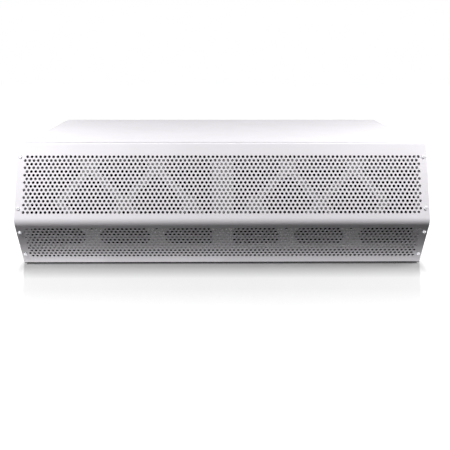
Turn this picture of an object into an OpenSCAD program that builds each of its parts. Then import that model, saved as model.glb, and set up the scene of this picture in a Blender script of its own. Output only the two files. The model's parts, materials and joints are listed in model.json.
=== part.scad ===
// Air curtain: a shallow sheet-metal cabinet with a V-shaped perforated intake cover.
// X runs along the unit, the intake faces -Y and Z is up.
// The origin is on the underside, below the middle of the length and of the depth.

/* [Cabinet] */
// Overall length, over the intake cover
cover_w = 911; // [880:1:1100]
// Overall depth, from the nose to the back panel
depth = 525; // [515:1:640]
// Overall height
body_h = 275; // [272:1:330]
// Height of the nose bend above the underside
nose_z = 110; // [95:1:125]
// How far the cover's top edge stands behind its bend line
upper_set = 62; // [50:1:72]
// How far the cover's bottom edge stands behind its bend line
lower_set = 57.5; // [45:0.5:70]
// Outside radius of the nose bend
nose_r = 22; // [8:0.5:24]
// How far the cover reaches past each end of the cabinet
overhang = 9; // [8.5:0.5:12]
// Thickness of the cabinet and cover sheet
sheet = 1.2; // [0.9:0.1:1.5]
// Depth of the cover's flanges on the top and the underside
cover_lip = 24; // [15:1:30]
// Width of the end panels' inward flanges
flange = 18; // [12:1:19]

/* [Perforation] */
// Diameter of a hole in the intake cover
hole_d = 6.35; // [4:0.05:7]
// Distance between neighbouring holes, staggered at 60 degrees
hole_pitch = 9.525; // [9:0.025:12]
// Cut every hole (1), or every second hole of every second row (2)
hole_step = 2; // [1, 2]
// Least distance from the cover's side edge to a hole's centre
side_margin = 19.5; // [16:0.5:30]
// Plain strip above the upper holes
top_margin = 29; // [20:1:40]
// Plain strip between the bend line and the upper holes
bend_margin_up = 22.9; // [15:0.1:30]
// Plain strip between the bend line and the lower holes
bend_margin_low = 19.5; // [15:0.1:30]
// Plain strip below the lower holes
bottom_margin = 21.5; // [15:0.5:30]

/* [Cover screws] */
// Distance from the cover's side edge to the screws
screw_inset = 8.4; // [7:0.1:9]
// Shank diameter of the cover screws
screw_d = 4.2; // [3:0.1:4.2]
// Length of the shank under the head
screw_len = 10; // [6:1:14]
// Diameter of the pan head
screw_head_d = 8.4; // [7:0.1:9]
// Height of the pan head
screw_head_h = 2.8; // [2:0.1:3.5]

/* [Filters] */
// Gap between a panel filter's end and the cabinet
filter_gap = 0.65; // [0.3:0.05:6]
// Height of a panel filter
filter_h = 241.3; // [220:0.1:245]
// Thickness of a panel filter
filter_d = 22; // [16:1:24]
// Height of the filters above the underside
filter_z = 19; // [14:0.5:22]
// Width of the border of the filter's frame
border = 24; // [14:1:28]
// Width of the same border at the filter's outer end
end_border = 8; // [6:1:20]
// Width of the diagonal straps
strap = 16; // [10:1:20]
// Diameter of the wide patches where straps cross
strap_node = 34; // [24:1:40]
// Height from the middle crossings to the upper and lower ones
strap_rise = 80; // [60:1:90]
// Thickness of the frame board
board = 1; // [0.8:0.1:1.5]
// Distance between the pleats
pleat = 26.6; // [20:0.1:32]

/* [Blowers] */
// Distance of the shaft from the back panel's outside
shaft_back = 172.5; // [165:0.5:180]
// Height of the shaft above the blower deck
shaft_up = 92.5; // [92:0.5:94]
// Diameter of the blower wheels
wheel_d = 165; // [150:1:166]
// Length of a blower wheel
wheel_w = 176; // [140:1:180]
// Distance from the middle of the unit to the middle of a wheel
wheel_x = 250; // [240:1:252]
// Number of blades in a wheel
blades = 40; // [24:1:48]
// Scroll radius at the cut-off
scroll_r0 = 88; // [87:0.5:89]
// Scroll radius at the outlet
scroll_r1 = 117; // [112:0.5:117]
// Width of a blower housing over its side plates
housing_w = 200; // [190:1:204]
// Inside radius of the inlet rings
inlet_r = 65; // [55:1:66]
// Thickness of the blower sheet
blower_sheet = 1.2; // [0.8:0.1:1.5]

/* [Motor] */
// Outside diameter of the motor
motor_d = 140; // [120:1:142]
// Length of the motor's shell
motor_len = 120; // [100:1:124]
// Diameter of the through shaft
shaft_d = 16; // [12:1:20]
// Diameter of the rubber mounting rings
ring_d = 60; // [54:1:64]

/* [Discharge] */
// Length of the discharge opening
nozzle_w = 850; // [800:1:854]
// Height of the blower deck's underside above the unit's underside
deck_z = 60; // [56:1:62]
// Chord of a vane
vane_chord = 38; // [30:1:40]
// Thickness of a vane's skin
vane_t = 2.4; // [1.8:0.1:3]
// Outside diameter of the screw boss along a vane
vane_boss = 9; // [8:0.5:10]
// Diameter of the pivot pins
pin_d = 5; // [4:0.5:5]
// Radial clearance of a pivot pin in its bushing
pin_gap = 0.05; // [0.02:0.01:0.1]

/* [Mounting] */
// Sideways distance between the wall bolts
bolt_x = 406.4; // [300:0.1:420]
// Height between the wall bolts
bolt_z = 130; // [100:1:140]
// Height of the lower wall bolts above the underside
bolt_low = 105; // [95:1:110]
// Diameter of the wall bolt holes
bolt_hole = 10.5; // [8:0.1:12]
// Diameter of the conduit hole in the right end panel
conduit_d = 22.2; // [20:0.1:28]

/* [Hidden] */

// Round shapes use this many sides before they become true circles.
round_fn = 64;
small_fn = 32;
// Overcut that makes a hole run through both faces.
cut = 1;
// Assembly gap between pieces that slip past each other.
slip = 0.3;

cab_w = cover_w - 2 * overhang;
inner_w = cab_w - 2 * sheet;
back_y = depth / 2;
base_top = 2 * sheet;
roof_z = body_h - 2 * sheet;

// Lean of the two cover faces from upright, and the offset of their bend per unit of inset.
up_ang = atan2(upper_set, body_h - nose_z);
low_ang = atan2(lower_set, nose_z);
bend_ang = up_ang + low_ang;
off_z = (1 / cos(low_ang) - 1 / cos(up_ang)) / (tan(up_ang) + tan(low_ang));
off_y = 1 / cos(up_ang) + off_z * tan(up_ang);
nose_y = -depth / 2 - nose_r * (off_y - 1);
top_y = nose_y + upper_set;
bottom_y = nose_y + lower_set;
up_len = (body_h - nose_z) / cos(up_ang);
low_len = nose_z / cos(low_ang);
bend_run = nose_r * tan(bend_ang / 2);
bend_centre = [nose_y + nose_r * off_y, nose_z + nose_r * off_z];

row_pitch = hole_pitch * sqrt(3) / 2;
hole_cols = floor((cover_w - 2 * side_margin) / hole_pitch + 0.5);
up_rows = floor((up_len - top_margin - bend_margin_up) / row_pitch) + 1;
low_rows = floor((low_len - bottom_margin - bend_margin_low) / row_pitch) + 1;
screw_x = cover_w / 2 - screw_inset;
up_screws = [bend_margin_up + row_pitch, bend_margin_up + (up_rows - 1) * row_pitch];
low_screws = [bend_margin_low + row_pitch, bend_margin_low + (low_rows - 1.7) * row_pitch];

// Two filters stand side by side between the end panels.
filter_w = (inner_w - slip) / 2 - filter_gap;
filter_x = (filter_w + slip) / 2;
// The top rail's front corner just clears the inside of the cover.
filter_y = up_y(roof_z, sheet) + sheet + 2 * slip;
filter_bays = 3;
// Patch where the outermost straps meet.
strap_end = 1.25 * strap;
media_skin = 2;
// Share of the frame's spare height that lies below the pleats.
media_low = 0.75;
rail_lip = 13;
top_rail_lip = 21;
// Clearance of the top and base panels behind the cover's bent edges.
panel_gap = 4;
flange_gap = 10;

deck_top = deck_z + blower_sheet;
deck_y = -60;
shaft_y = back_y - shaft_back;
shaft_z = deck_top + shaft_up;
cut_ang = 25;
scroll_turn = 270;
scroll_step = 5;
nozzle_y0 = shaft_y + scroll_r0 * sin(cut_ang);
nozzle_y1 = shaft_y + scroll_r1;
lip_z = shaft_z - scroll_r0 * cos(cut_ang);
side_in = housing_w / 2 - blower_sheet;
foot = 14;
foot_front = 50;
foot_bolts = [-35, 100];
ring_flange = 16;
ring_neck = 6;
tongue_gap = 0.6 * blower_sheet;

wall_rail_w = 60;
wall_rail_d = 15;
wall_rail_t = 2.5;

vane_count = 3;
vane_end_gap = 5;
// Height of a vane's lower edge above the inside of the base.
vane_lift = 4.6;
vane_z = base_top + vane_chord / 2 + vane_lift;
vane_len = nozzle_w - 2 * vane_end_gap;
vane_pitch = (nozzle_y1 - nozzle_y0) / vane_count;
bushing_d = pin_d + 3;
bushing_head = 1.5;
bushing_rim = 2;
bushing_len = 5;
pin_len = 26;
pin_outside = 6;

bolt_head_d = 9;
bolt_head_h = 3.2;
bolt_len = 8;
setscrew_x = 8;

blade_depth = 15;
blade_sweep = 9;
blade_skin = 1;
blade_steps = 4;
tip_gap = 1;
disc_t = 2;
disc_inset = 3;
end_ring = 9;
wheel_hub_d = 2.2 * shaft_d;
wheel_hub_len = 28;
shaft_past_wheel = 25;
shaft_len = 2 * (wheel_x + shaft_past_wheel);

shell_t = 3;
core_len = 66;
coil_len = 104;
coil_t = 8;
air_gap = 1;
rotor_d = motor_d / 2 + 8;
rotor_len = 70;
bell_len = 25;
bell_rim = 8;
hub_d = 44;
hub_len = 12;
bearing_d = 36;
bearing_len = 14;
bearing_depth = 4;
ear_x = motor_len / 2 + bell_len + hub_len / 2;
ear_t = 2.5;
ear_shoulder = 10;
groove = 2;
cradle_w = 120;
clamp_w = hub_len - 2;

box_size = [110, 90, 70];
box_x0 = inner_w / 2 - box_size[0];
box_y0 = deck_y - 15 - box_size[1];
box_wall = 1;
conduit_y = box_y0 + box_size[1] / 2;
conduit_z = base_top + box_size[2] / 2;
gland_d = 14;
cable_d = 8;
cap_d = 44;
cap_len = 90;
cap_y = deck_y + 26;
cap_z = deck_top + blower_sheet + cap_d / 2;
cap_clip_w = 20;
cap_tab = [1, 6, 16];
lid_lip = 8;
block_size = [60, 16, 24];
block_inset = 20;
block_ways = 5;
block_well = 6;

// ---- Shared shapes -----------------------------------------------------------------------

// Draws a side view (Y to the right, Z up) as a bar along X.
module along_x(w) {
  rotate([90, 0, 90]) linear_extrude(w, center = true) children();
}

// A round bar along X, on the blower shaft's line.
module on_shaft(d, x0, x1) {
  translate([x0, shaft_y, shaft_z]) rotate([0, 90, 0]) cylinder(d = d, h = x1 - x0, $fn = round_fn);
}

// A box given by its low and high corners.
module box(low, high) {
  translate(low) cube(high - low);
}

// Depth of the cover's faces at height z, moved inwards by d.
function up_y(z, d) = nose_y + d / cos(up_ang) + (z - nose_z) * tan(up_ang);
function low_y(z, d) = nose_y + d / cos(low_ang) + (nose_z - z) * tan(low_ang);
function nose_at(d) = [nose_y + d * off_y, nose_z + d * off_z];
function from_bend(r, a) = bend_centre + r * [-cos(a), sin(a)];

// Side view of all that lies behind the cover's outside, moved inwards by d, with a sharp nose.
module behind_sharp(d, z0, z1, y1) {
  polygon([[up_y(z1, d), z1], nose_at(d), [low_y(z0, d), z0], [y1, z0], [y1, z1]]);
}

// The same with the nose cut straight, from one end of the bend to the other.
module behind_cut(d, z0, z1, y1) {
  polygon([
    [up_y(z1, d), z1], from_bend(nose_r - d, up_ang), from_bend(nose_r - d, -low_ang),
    [low_y(z0, d), z0], [y1, z0], [y1, z1]
  ]);
}

// The same with the nose rounded about the bend's centre.
module behind(d, z0, z1, y1) {
  difference() {
    behind_sharp(d, z0, z1, y1);
    difference() {
      polygon([
        nose_at(d) - [cut, 0], from_bend(nose_r - d, up_ang),
        bend_centre, from_bend(nose_r - d, -low_ang)
      ]);
      translate(bend_centre) circle(r = nose_r - d, $fn = round_fn);
    }
  }
}

// Places children on the upper cover face: X along it, Y up the slope, Z out of it.
module on_upper() {
  translate([0, nose_y, nose_z]) rotate([90 - up_ang, 0, 0]) children();
}

// Places children on the lower cover face: X along it, Y down the slope, Z out of it.
module on_lower() {
  translate([0, nose_y, nose_z]) rotate([low_ang - 90, 0, 0]) mirror([0, 0, 1]) children();
}

// ---- Intake cover ------------------------------------------------------------------------

// Staggered round holes, with the first row at the given distance from the bend line.
// The first row is shifted to the right (lead 1) or to the left (lead -1).
module perforation(rows, first, lead) {
  for (r = [0 : hole_step : rows - 1])
    for (c = [(r / hole_step) % hole_step : hole_step : hole_cols - 1])
      translate([
        (c - (hole_cols - 1) / 2) * hole_pitch + (r % 2 == 0 ? lead : -lead) * hole_pitch / 4,
        first + r * row_pitch
      ]) circle(d = hole_d, $fn = small_fn);
}

// Everything that is punched through one flat face of the cover.
module cover_holes(rows, first, lead, screws) {
  translate([0, 0, -2 * sheet]) linear_extrude(3 * sheet) {
    perforation(rows, first, lead);
    for (side = [-1, 1], s = screws)
      translate([side * screw_x, s]) circle(d = screw_d, $fn = small_fn);
  }
}

// The bent sheet is a block with the lips' outline, hollowed out from the rear.
module intake_cover() {
  color([0.95, 0.95, 0.96]) difference() {
    along_x(cover_w) difference() {
      behind(0, 0, body_h, back_y);
      translate([top_y + cover_lip, body_h / 2]) square([depth, body_h]);
      translate([bottom_y + cover_lip, -cut]) square([depth, body_h / 2 + 2 * cut]);
    }
    along_x(cover_w - 2 * sheet) behind(sheet, sheet, body_h - sheet, back_y + cut);
    along_x(cover_w + 2 * cut) behind_sharp(cover_lip / 2, sheet, body_h - sheet, back_y + cut);
    on_upper() cover_holes(up_rows, bend_margin_up, -1, up_screws);
    on_lower() cover_holes(low_rows, bend_margin_low, 1, low_screws);
  }
}

// A pan-head screw that points down the local -Z, with a cross recess.
module pan_screw(d, length, head_d, head_h) {
  difference() {
    union() {
      cylinder(d = head_d, h = head_h * 0.6, $fn = small_fn);
      cylinder(d = head_d * 0.8, h = head_h, $fn = small_fn);
      translate([0, 0, -length]) cylinder(d = d, h = length + cut, $fn = small_fn);
    }
    for (a = [0, 90])
      rotate([0, 0, a]) translate([0, 0, head_h]) cube([head_d / 2, head_d / 8, head_h], center = true);
  }
}

module cover_screws() {
  color([0.88, 0.88, 0.9]) for (side = [-1, 1]) {
    for (s = up_screws) on_upper() translate([side * screw_x, s, 0])
      pan_screw(screw_d, screw_len, screw_head_d, screw_head_h);
    for (s = low_screws) on_lower() translate([side * screw_x, s, 0])
      pan_screw(screw_d, screw_len, screw_head_d, screw_head_h);
  }
}

// ---- Cabinet -----------------------------------------------------------------------------

module top_panel() {
  color([0.94, 0.94, 0.95])
    box([-cab_w / 2, top_y + panel_gap, roof_z], [cab_w / 2, back_y, roof_z + sheet]);
}

module back_panel() {
  color([0.94, 0.94, 0.95]) difference() {
    box([-cab_w / 2, back_y - sheet, 0], [cab_w / 2, back_y, roof_z]);
    wall_bolt_holes();
  }
}

module base_panel() {
  color([0.9, 0.9, 0.91]) difference() {
    box([-inner_w / 2, bottom_y + panel_gap, sheet], [inner_w / 2, back_y - sheet, base_top]);
    box([-nozzle_w / 2, nozzle_y0, 0], [nozzle_w / 2, nozzle_y1, base_top + cut]);
  }
}

module wall_bolt_holes() {
  for (side = [-1, 1], k = [0, 1])
    translate([side * bolt_x / 2, back_y + cut, bolt_low + k * bolt_z])
      rotate([90, 0, 0]) cylinder(d = bolt_hole, h = 2 * flange, $fn = small_fn);
}

// The right-hand end panel: a web with flanges turned in at the top, bottom and rear,
// and one turned out along the front for the cover's screws.
module end_panel() {
  x1 = cab_w / 2;
  difference() {
    union() {
      translate([x1 - sheet / 2, 0, 0]) along_x(sheet) difference() {
        behind_cut(sheet, 0, roof_z, back_y - sheet);
        polygon([
          [bottom_y - cut, -cut], [bottom_y + cover_lip + cut, -cut],
          [bottom_y + cover_lip + cut, sheet], [bottom_y - cut, sheet]
        ]);
      }
      translate([(x1 - sheet + cover_w / 2 - sheet - slip) / 2, 0, 0])
        along_x(overhang - slip) difference() {
          behind_cut(sheet, sheet, body_h - sheet, back_y - sheet);
          behind_cut(2 * sheet, -cut, body_h + cut, back_y);
        }
      box([x1 - flange, top_y + flange_gap, roof_z - sheet], [x1, back_y - sheet, roof_z]);
      box([x1 - flange, bottom_y + cover_lip + cut, 0], [x1, back_y - sheet, sheet]);
      box([x1 - flange, back_y - 2 * sheet, base_top], [x1, back_y - sheet, roof_z]);
    }
    for (s = up_screws) on_upper() translate([screw_x, s, -screw_len])
      cylinder(d = screw_d, h = screw_len, $fn = small_fn);
    for (s = low_screws) on_lower() translate([screw_x, s, -screw_len])
      cylinder(d = screw_d, h = screw_len, $fn = small_fn);
  }
}

module end_panel_left() {
  color([0.94, 0.94, 0.95]) mirror([1, 0, 0]) end_panel();
}

module end_panel_right() {
  color([0.94, 0.94, 0.95]) difference() {
    end_panel();
    conduit_hole();
  }
}

module conduit_hole() {
  translate([inner_w / 2 - flange, conduit_y, conduit_z])
    rotate([0, 90, 0]) cylinder(d = conduit_d, h = 2 * flange, $fn = round_fn);
}

// A channel against the back panel that spreads the wall bolts' load.
module wall_rail() {
  y1 = back_y - sheet;
  difference() {
    box([(bolt_x - wall_rail_w) / 2, y1 - wall_rail_d, deck_top], [(bolt_x + wall_rail_w) / 2, y1, roof_z]);
    box([(bolt_x - wall_rail_w) / 2 + wall_rail_t, y1 - wall_rail_d - cut, deck_top - cut],
        [(bolt_x + wall_rail_w) / 2 - wall_rail_t, y1 - wall_rail_t, roof_z + cut]);
    wall_bolt_holes();
  }
}

module wall_rail_left() {
  color([0.7, 0.72, 0.74]) mirror([1, 0, 0]) wall_rail();
}

module wall_rail_right() {
  color([0.7, 0.72, 0.74]) wall_rail();
}

// ---- Filters -----------------------------------------------------------------------------

// A straight strap between two points of the board.
module strap_line(p, q) {
  translate(p) rotate(atan2(q[1] - p[1], q[0] - p[0]))
    translate([0, -strap / 2]) square([norm(q - p), strap]);
}

// The die-cut board: a border and crossed diagonal straps in three bays.
// Half bays are counted from the middle of the unit. The outermost one is left open, and so is
// the upper half of the innermost one.
module filter_board(side) {
  half_bay = filter_w / filter_bays / 2;
  steps = 2 * filter_bays;
  function at(j, k) = [side * (j * half_bay - filter_w / 2), k * strap_rise];
  intersection() {
    square([filter_w, filter_h], center = true);
    union() {
      difference() {
        square([filter_w, filter_h], center = true);
        translate([side * (border - end_border) / 2, 0])
          square([filter_w - border - end_border, filter_h - 2 * border], center = true);
      }
      for (j = [0 : steps - 2], k = [-2 : 1]) {
        low = (j + filter_bays + k) % 2 == 0;
        if (j > 0 || k != 0) strap_line(at(j, low ? k : k + 1), at(j + 1, low ? k + 1 : k));
      }
      for (j = [1 : steps - 1], k = [-1 : 1])
        if ((j + filter_bays + k) % 2 == 0) translate(at(j, k))
          circle(d = j < steps - 1 ? strap_node : strap_end, $fn = small_fn);
    }
  }
}

// The frame: two boards joined by a rim.
module filter_frame(side) {
  translate([side * filter_x, filter_y, filter_z + filter_h / 2]) rotate([90, 0, 0]) union() {
    translate([0, 0, -board]) linear_extrude(board) filter_board(side);
    translate([0, 0, -filter_d]) linear_extrude(board) filter_board(side);
    translate([0, 0, -filter_d]) linear_extrude(filter_d) difference() {
      square([filter_w, filter_h], center = true);
      square([filter_w - 2 * board, filter_h - 2 * board], center = true);
    }
  }
}

// Pleated media: a zigzag sheet between the two boards.
module filter_media(side) {
  y0 = filter_y + board;
  y1 = filter_y + filter_d - board - media_skin;
  folds = floor((filter_h - 2 * board) / (pleat / 2));
  z0 = filter_z + (filter_h - folds * pleat / 2) * media_low;
  front = [for (i = [0 : folds]) [i % 2 == 0 ? y0 : y1, z0 + i * pleat / 2]];
  rear = [for (i = [folds : -1 : 0]) front[i] + [media_skin, 0]];
  translate([side * filter_x, 0, 0]) along_x(filter_w - 2 * board) polygon(concat(front, rear));
}

module filter_frame_left() {
  color([0.93, 0.93, 0.93]) filter_frame(-1);
}

module filter_frame_right() {
  color([0.93, 0.93, 0.93]) filter_frame(1);
}

module filter_media_left() {
  color([0.35, 0.36, 0.38]) filter_media(-1);
}

module filter_media_right() {
  color([0.35, 0.36, 0.38]) filter_media(1);
}

// A channel open upwards, with its floor's underside at z = 0 and the filter's face at y = 0.
module filter_channel(w, lip) {
  along_x(w) difference() {
    translate([-sheet - slip, 0]) square([filter_d + 2 * sheet + 2 * slip, lip]);
    translate([-slip, sheet]) square([filter_d + 2 * slip, lip]);
  }
}

module filter_rail_bottom() {
  color([0.12, 0.12, 0.13]) translate([0, filter_y, filter_z - sheet])
    filter_channel(inner_w - 2 * slip, rail_lip);
}

module filter_rail_top() {
  color([0.12, 0.12, 0.13]) translate([0, filter_y, roof_z]) mirror([0, 0, 1])
    filter_channel(cab_w - 2 * flange - 2 * cut, roof_z - filter_z - filter_h + top_rail_lip);
}

// A channel, open downwards, that lifts the bottom rail off the base.
module filter_sill() {
  h = filter_z - sheet - base_top;
  color([0.12, 0.12, 0.13]) translate([0, filter_y, base_top]) along_x(inner_w - 2 * slip) difference() {
    square([filter_d, h]);
    translate([sheet, -cut]) square([filter_d - 2 * sheet, h - sheet + cut]);
  }
}

// ---- Deck and discharge nozzle -----------------------------------------------------------

module blower_deck() {
  color([0.78, 0.79, 0.81]) difference() {
    union() {
      box([-inner_w / 2 + slip, deck_y, deck_z], [inner_w / 2 - slip, back_y - 2 * sheet, deck_top]);
      box([-inner_w / 2 + slip, deck_y, base_top], [inner_w / 2 - slip, deck_y + blower_sheet, deck_top]);
    }
    for (side = [-1, 1])
      box([side * wheel_x - side_in, nozzle_y0, deck_z - cut],
          [side * wheel_x + side_in, nozzle_y1, deck_top + cut]);
    housing_bolt_places() cylinder(d = pin_d, h = 4 * foot, center = true, $fn = small_fn);
  }
}

// A wall of the nozzle: a C-shaped strip between the base and the deck, opening away from it.
module nozzle_wall() {
  h = deck_z - base_top;
  along_x(nozzle_w + 2 * blower_sheet) difference() {
    square([foot, h]);
    translate([blower_sheet, blower_sheet]) square([foot, h - 2 * blower_sheet]);
  }
}

module nozzle_wall_front() {
  color([0.78, 0.79, 0.81]) translate([0, nozzle_y0, base_top]) mirror([0, 1, 0]) nozzle_wall();
}

module nozzle_wall_rear() {
  color([0.78, 0.79, 0.81]) translate([0, nozzle_y1, base_top]) nozzle_wall();
}

function vane_y(i) = nozzle_y0 + (i + 0.5) * vane_pitch;

module nozzle_end() {
  x0 = nozzle_w / 2;
  difference() {
    union() {
      box([x0, nozzle_y0, base_top], [x0 + blower_sheet, nozzle_y1, deck_z]);
      box([x0, nozzle_y0, base_top], [x0 + foot, nozzle_y1, base_top + blower_sheet]);
    }
    for (i = [0 : vane_count - 1])
      translate([x0 - cut, vane_y(i), vane_z]) rotate([0, 90, 0])
        cylinder(d = bushing_d, h = foot, $fn = small_fn);
  }
}

module nozzle_end_left() {
  color([0.78, 0.79, 0.81]) mirror([1, 0, 0]) nozzle_end();
}

module nozzle_end_right() {
  color([0.78, 0.79, 0.81]) nozzle_end();
}

// An extruded vane: a thin blade with rounded edges and a round boss for the pivot pins.
module vane(i) {
  tip = vane_chord / 2 - vane_t / 2;
  color([0.82, 0.83, 0.85]) translate([0, vane_y(i), vane_z]) along_x(vane_len) difference() {
    union() {
      translate([-vane_t / 2, -tip]) square([vane_t, 2 * tip]);
      for (end = [-1, 1]) translate([0, end * tip]) circle(d = vane_t, $fn = small_fn);
      circle(d = vane_boss, $fn = small_fn);
    }
    circle(d = pin_d, $fn = small_fn);
  }
}

module vane_front() {
  vane(0);
}

module vane_middle() {
  vane(1);
}

module vane_rear() {
  vane(2);
}

// The two pivot pins of a vane, pressed into its ends.
module vane_pins(i) {
  color([0.7, 0.7, 0.72]) for (side = [-1, 1])
    translate([side * (nozzle_w / 2 + pin_outside - pin_len / 2), vane_y(i), vane_z]) rotate([0, 90, 0])
      cylinder(d = pin_d, h = pin_len, center = true, $fn = small_fn);
}

module vane_pins_front() {
  vane_pins(0);
}

module vane_pins_middle() {
  vane_pins(1);
}

module vane_pins_rear() {
  vane_pins(2);
}

// Flanged plastic bushings in the nozzle's end plates.
module vane_bushings() {
  color([0.15, 0.15, 0.16]) for (side = [-1, 1], i = [0 : vane_count - 1])
    translate([side * nozzle_w / 2, vane_y(i), vane_z]) rotate([0, side * 90, 0])
      translate([0, 0, -bushing_head]) difference() {
        union() {
          cylinder(d = bushing_d + 2 * bushing_rim, h = bushing_head, $fn = small_fn);
          cylinder(d = bushing_d, h = bushing_head + bushing_len, $fn = small_fn);
        }
        translate([0, 0, -cut]) cylinder(d = pin_d + 2 * pin_gap, h = foot, $fn = small_fn);
      }
}

// ---- Blowers -----------------------------------------------------------------------------

// Point of the scroll, counted from straight below the shaft towards the front.
function scroll_r(a) = scroll_r0 + (scroll_r1 - scroll_r0) * (a + cut_ang) / (scroll_turn + cut_ang);
function scroll_at(a, grow) = [shaft_y, shaft_z] - (scroll_r(a) + grow) * [sin(a), cos(a)];
function scroll_line(grow) = [for (a = [-cut_ang : scroll_step : scroll_turn]) scroll_at(a, grow)];

// The curved sheet around a wheel, with its straight run down to the deck.
module scroll_wrap(side) {
  inside = concat(scroll_line(0), [[nozzle_y1, deck_top]]);
  outside = concat(scroll_line(blower_sheet), [[nozzle_y1 + blower_sheet, deck_top]]);
  last = len(inside) - 1;
  color([0.78, 0.79, 0.81]) translate([side * wheel_x, 0, 0]) along_x(2 * side_in)
    polygon(concat(inside, [for (i = [last : -1 : 0]) outside[i]]));
}

module scroll_wrap_left() {
  scroll_wrap(-1);
}

module scroll_wrap_right() {
  scroll_wrap(1);
}

// A housing's side plate with its inlet hole and foot. It faces +X when face is 1.
module scroll_side(side, face) {
  plate_x = side * wheel_x + face * (housing_w - blower_sheet) / 2;
  foot_y = [shaft_y - foot_front, nozzle_y1 + blower_sheet];
  color([0.78, 0.79, 0.81]) difference() {
    union() {
      translate([plate_x, 0, 0]) along_x(blower_sheet) difference() {
        union() {
          polygon(concat(scroll_line(blower_sheet), [[nozzle_y1 + blower_sheet, shaft_z]]));
          translate([foot_y[0], deck_top]) square([foot_y[1] - foot_y[0], shaft_up]);
        }
        translate([shaft_y, shaft_z]) circle(r = inlet_r + blower_sheet, $fn = round_fn);
      }
      translate([plate_x + face * foot / 2, 0, 0])
        box([-foot / 2, foot_y[0], deck_top], [foot / 2, foot_y[1], deck_top + blower_sheet]);
    }
    housing_bolt_places() cylinder(d = pin_d, h = 4 * foot, center = true, $fn = small_fn);
  }
}

module scroll_side_left_outer() {
  scroll_side(-1, -1);
}

module scroll_side_left_inner() {
  scroll_side(-1, 1);
}

module scroll_side_right_inner() {
  scroll_side(1, -1);
}

module scroll_side_right_outer() {
  scroll_side(1, 1);
}

// A spun inlet ring: a flat flange outside the plate and a neck that reaches in.
module inlet_ring(side, face) {
  color([0.75, 0.76, 0.78])
    translate([side * wheel_x + face * housing_w / 2, shaft_y, shaft_z]) rotate([0, face * 90, 0])
      rotate_extrude($fn = round_fn) {
        translate([inlet_r, 0]) square([ring_flange, blower_sheet]);
        translate([inlet_r, -blower_sheet - ring_neck])
          square([blower_sheet, 2 * blower_sheet + ring_neck]);
      }
}

module inlet_ring_left_outer() {
  inlet_ring(-1, -1);
}

module inlet_ring_left_inner() {
  inlet_ring(-1, 1);
}

module inlet_ring_right_inner() {
  inlet_ring(1, -1);
}

module inlet_ring_right_outer() {
  inlet_ring(1, 1);
}

// The strip that closes the scroll's tongue down to the deck.
module cutoff(side) {
  color([0.75, 0.76, 0.78])
    box([side * wheel_x - side_in, nozzle_y0 - blower_sheet, deck_top],
        [side * wheel_x + side_in, nozzle_y0, lip_z - blower_sheet - tongue_gap]);
}

module cutoff_left() {
  cutoff(-1);
}

module cutoff_right() {
  cutoff(1);
}

// Puts children at each bolt of the housings' feet, on the deck's top face.
module housing_bolt_places() {
  for (side = [-1, 1], face = [-1, 1], y = foot_bolts)
    translate([side * wheel_x + face * (housing_w + foot) / 2, shaft_y + y, deck_top]) children();
}

module housing_bolts() {
  color([0.7, 0.7, 0.72]) housing_bolt_places() translate([0, 0, blower_sheet]) {
    cylinder(d = bolt_head_d, h = bolt_head_h, $fn = 6);
    translate([0, 0, -bolt_len]) cylinder(d = pin_d, h = bolt_len + cut, $fn = small_fn);
  }
}

// Side view of one forward-curved blade, as a point s of the way from its root to its tip.
function blade_at(s) = let (
    root = wheel_d / 2 - blade_depth, r = root + (blade_depth - tip_gap) * s, a = blade_sweep * s * s
  ) r * [cos(a), sin(a)];

module blade() {
  front = [for (i = [0 : blade_steps]) blade_at(i / blade_steps)];
  rear = [for (i = [blade_steps : -1 : 0]) blade_at(i / blade_steps) + [0, blade_skin]];
  polygon(concat(front, rear));
}

// A double-inlet wheel: a centre plate with a hub, a ring at each end, and the blades between.
module wheel(side) {
  color([0.72, 0.73, 0.75]) translate([side * wheel_x, shaft_y, shaft_z]) rotate([90, 0, 90]) difference() {
    union() {
      linear_extrude(wheel_w, center = true)
        for (i = [0 : blades - 1]) rotate(i * 360 / blades) blade();
      cylinder(d = wheel_d - 2 * disc_inset, h = disc_t, center = true, $fn = round_fn);
      cylinder(d = wheel_hub_d, h = wheel_hub_len, center = true, $fn = round_fn);
      for (end = [-1, 1]) translate([0, 0, end * (wheel_w - disc_t) / 2]) difference() {
        cylinder(d = wheel_d, h = disc_t, center = true, $fn = round_fn);
        cylinder(d = wheel_d - 2 * end_ring, h = disc_t + cut, center = true, $fn = round_fn);
      }
    }
    cylinder(d = shaft_d, h = wheel_w, center = true, $fn = round_fn);
    at_setscrew(0, wheel_hub_d);
  }
}

// A round bar across the hub, beside the centre plate: the setscrew, or its threaded hole.
module at_setscrew(from, length) {
  translate([0, from, setscrew_x]) rotate([-90, 0, 0]) cylinder(d = pin_d, h = length, $fn = small_fn);
}

module wheel_left() {
  wheel(-1);
}

module wheel_right() {
  wheel(1);
}

module wheel_setscrews() {
  color([0.3, 0.3, 0.32]) for (side = [-1, 1])
    translate([side * wheel_x, shaft_y, shaft_z]) rotate([90, 0, 90])
      at_setscrew(shaft_d / 2, (wheel_hub_d - shaft_d) / 2);
}

// ---- Motor -------------------------------------------------------------------------------

module motor_shaft() {
  color([0.72, 0.72, 0.74]) on_shaft(shaft_d, -shaft_len / 2, shaft_len / 2);
}

module motor_rotor() {
  color([0.6, 0.6, 0.62]) difference() {
    on_shaft(rotor_d, -rotor_len / 2, rotor_len / 2);
    on_shaft(shaft_d, -rotor_len / 2 - cut, rotor_len / 2 + cut);
  }
}

// The laminated core, with the coils' ends standing out of it at both sides.
module motor_stator() {
  core_d = motor_d - 2 * shell_t;
  color([0.72, 0.4, 0.2]) difference() {
    union() {
      on_shaft(core_d, -core_len / 2, core_len / 2);
      on_shaft(core_d - 2 * coil_t, -coil_len / 2, coil_len / 2);
    }
    on_shaft(rotor_d + 2 * air_gap, -coil_len / 2 - cut, coil_len / 2 + cut);
  }
}

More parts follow.
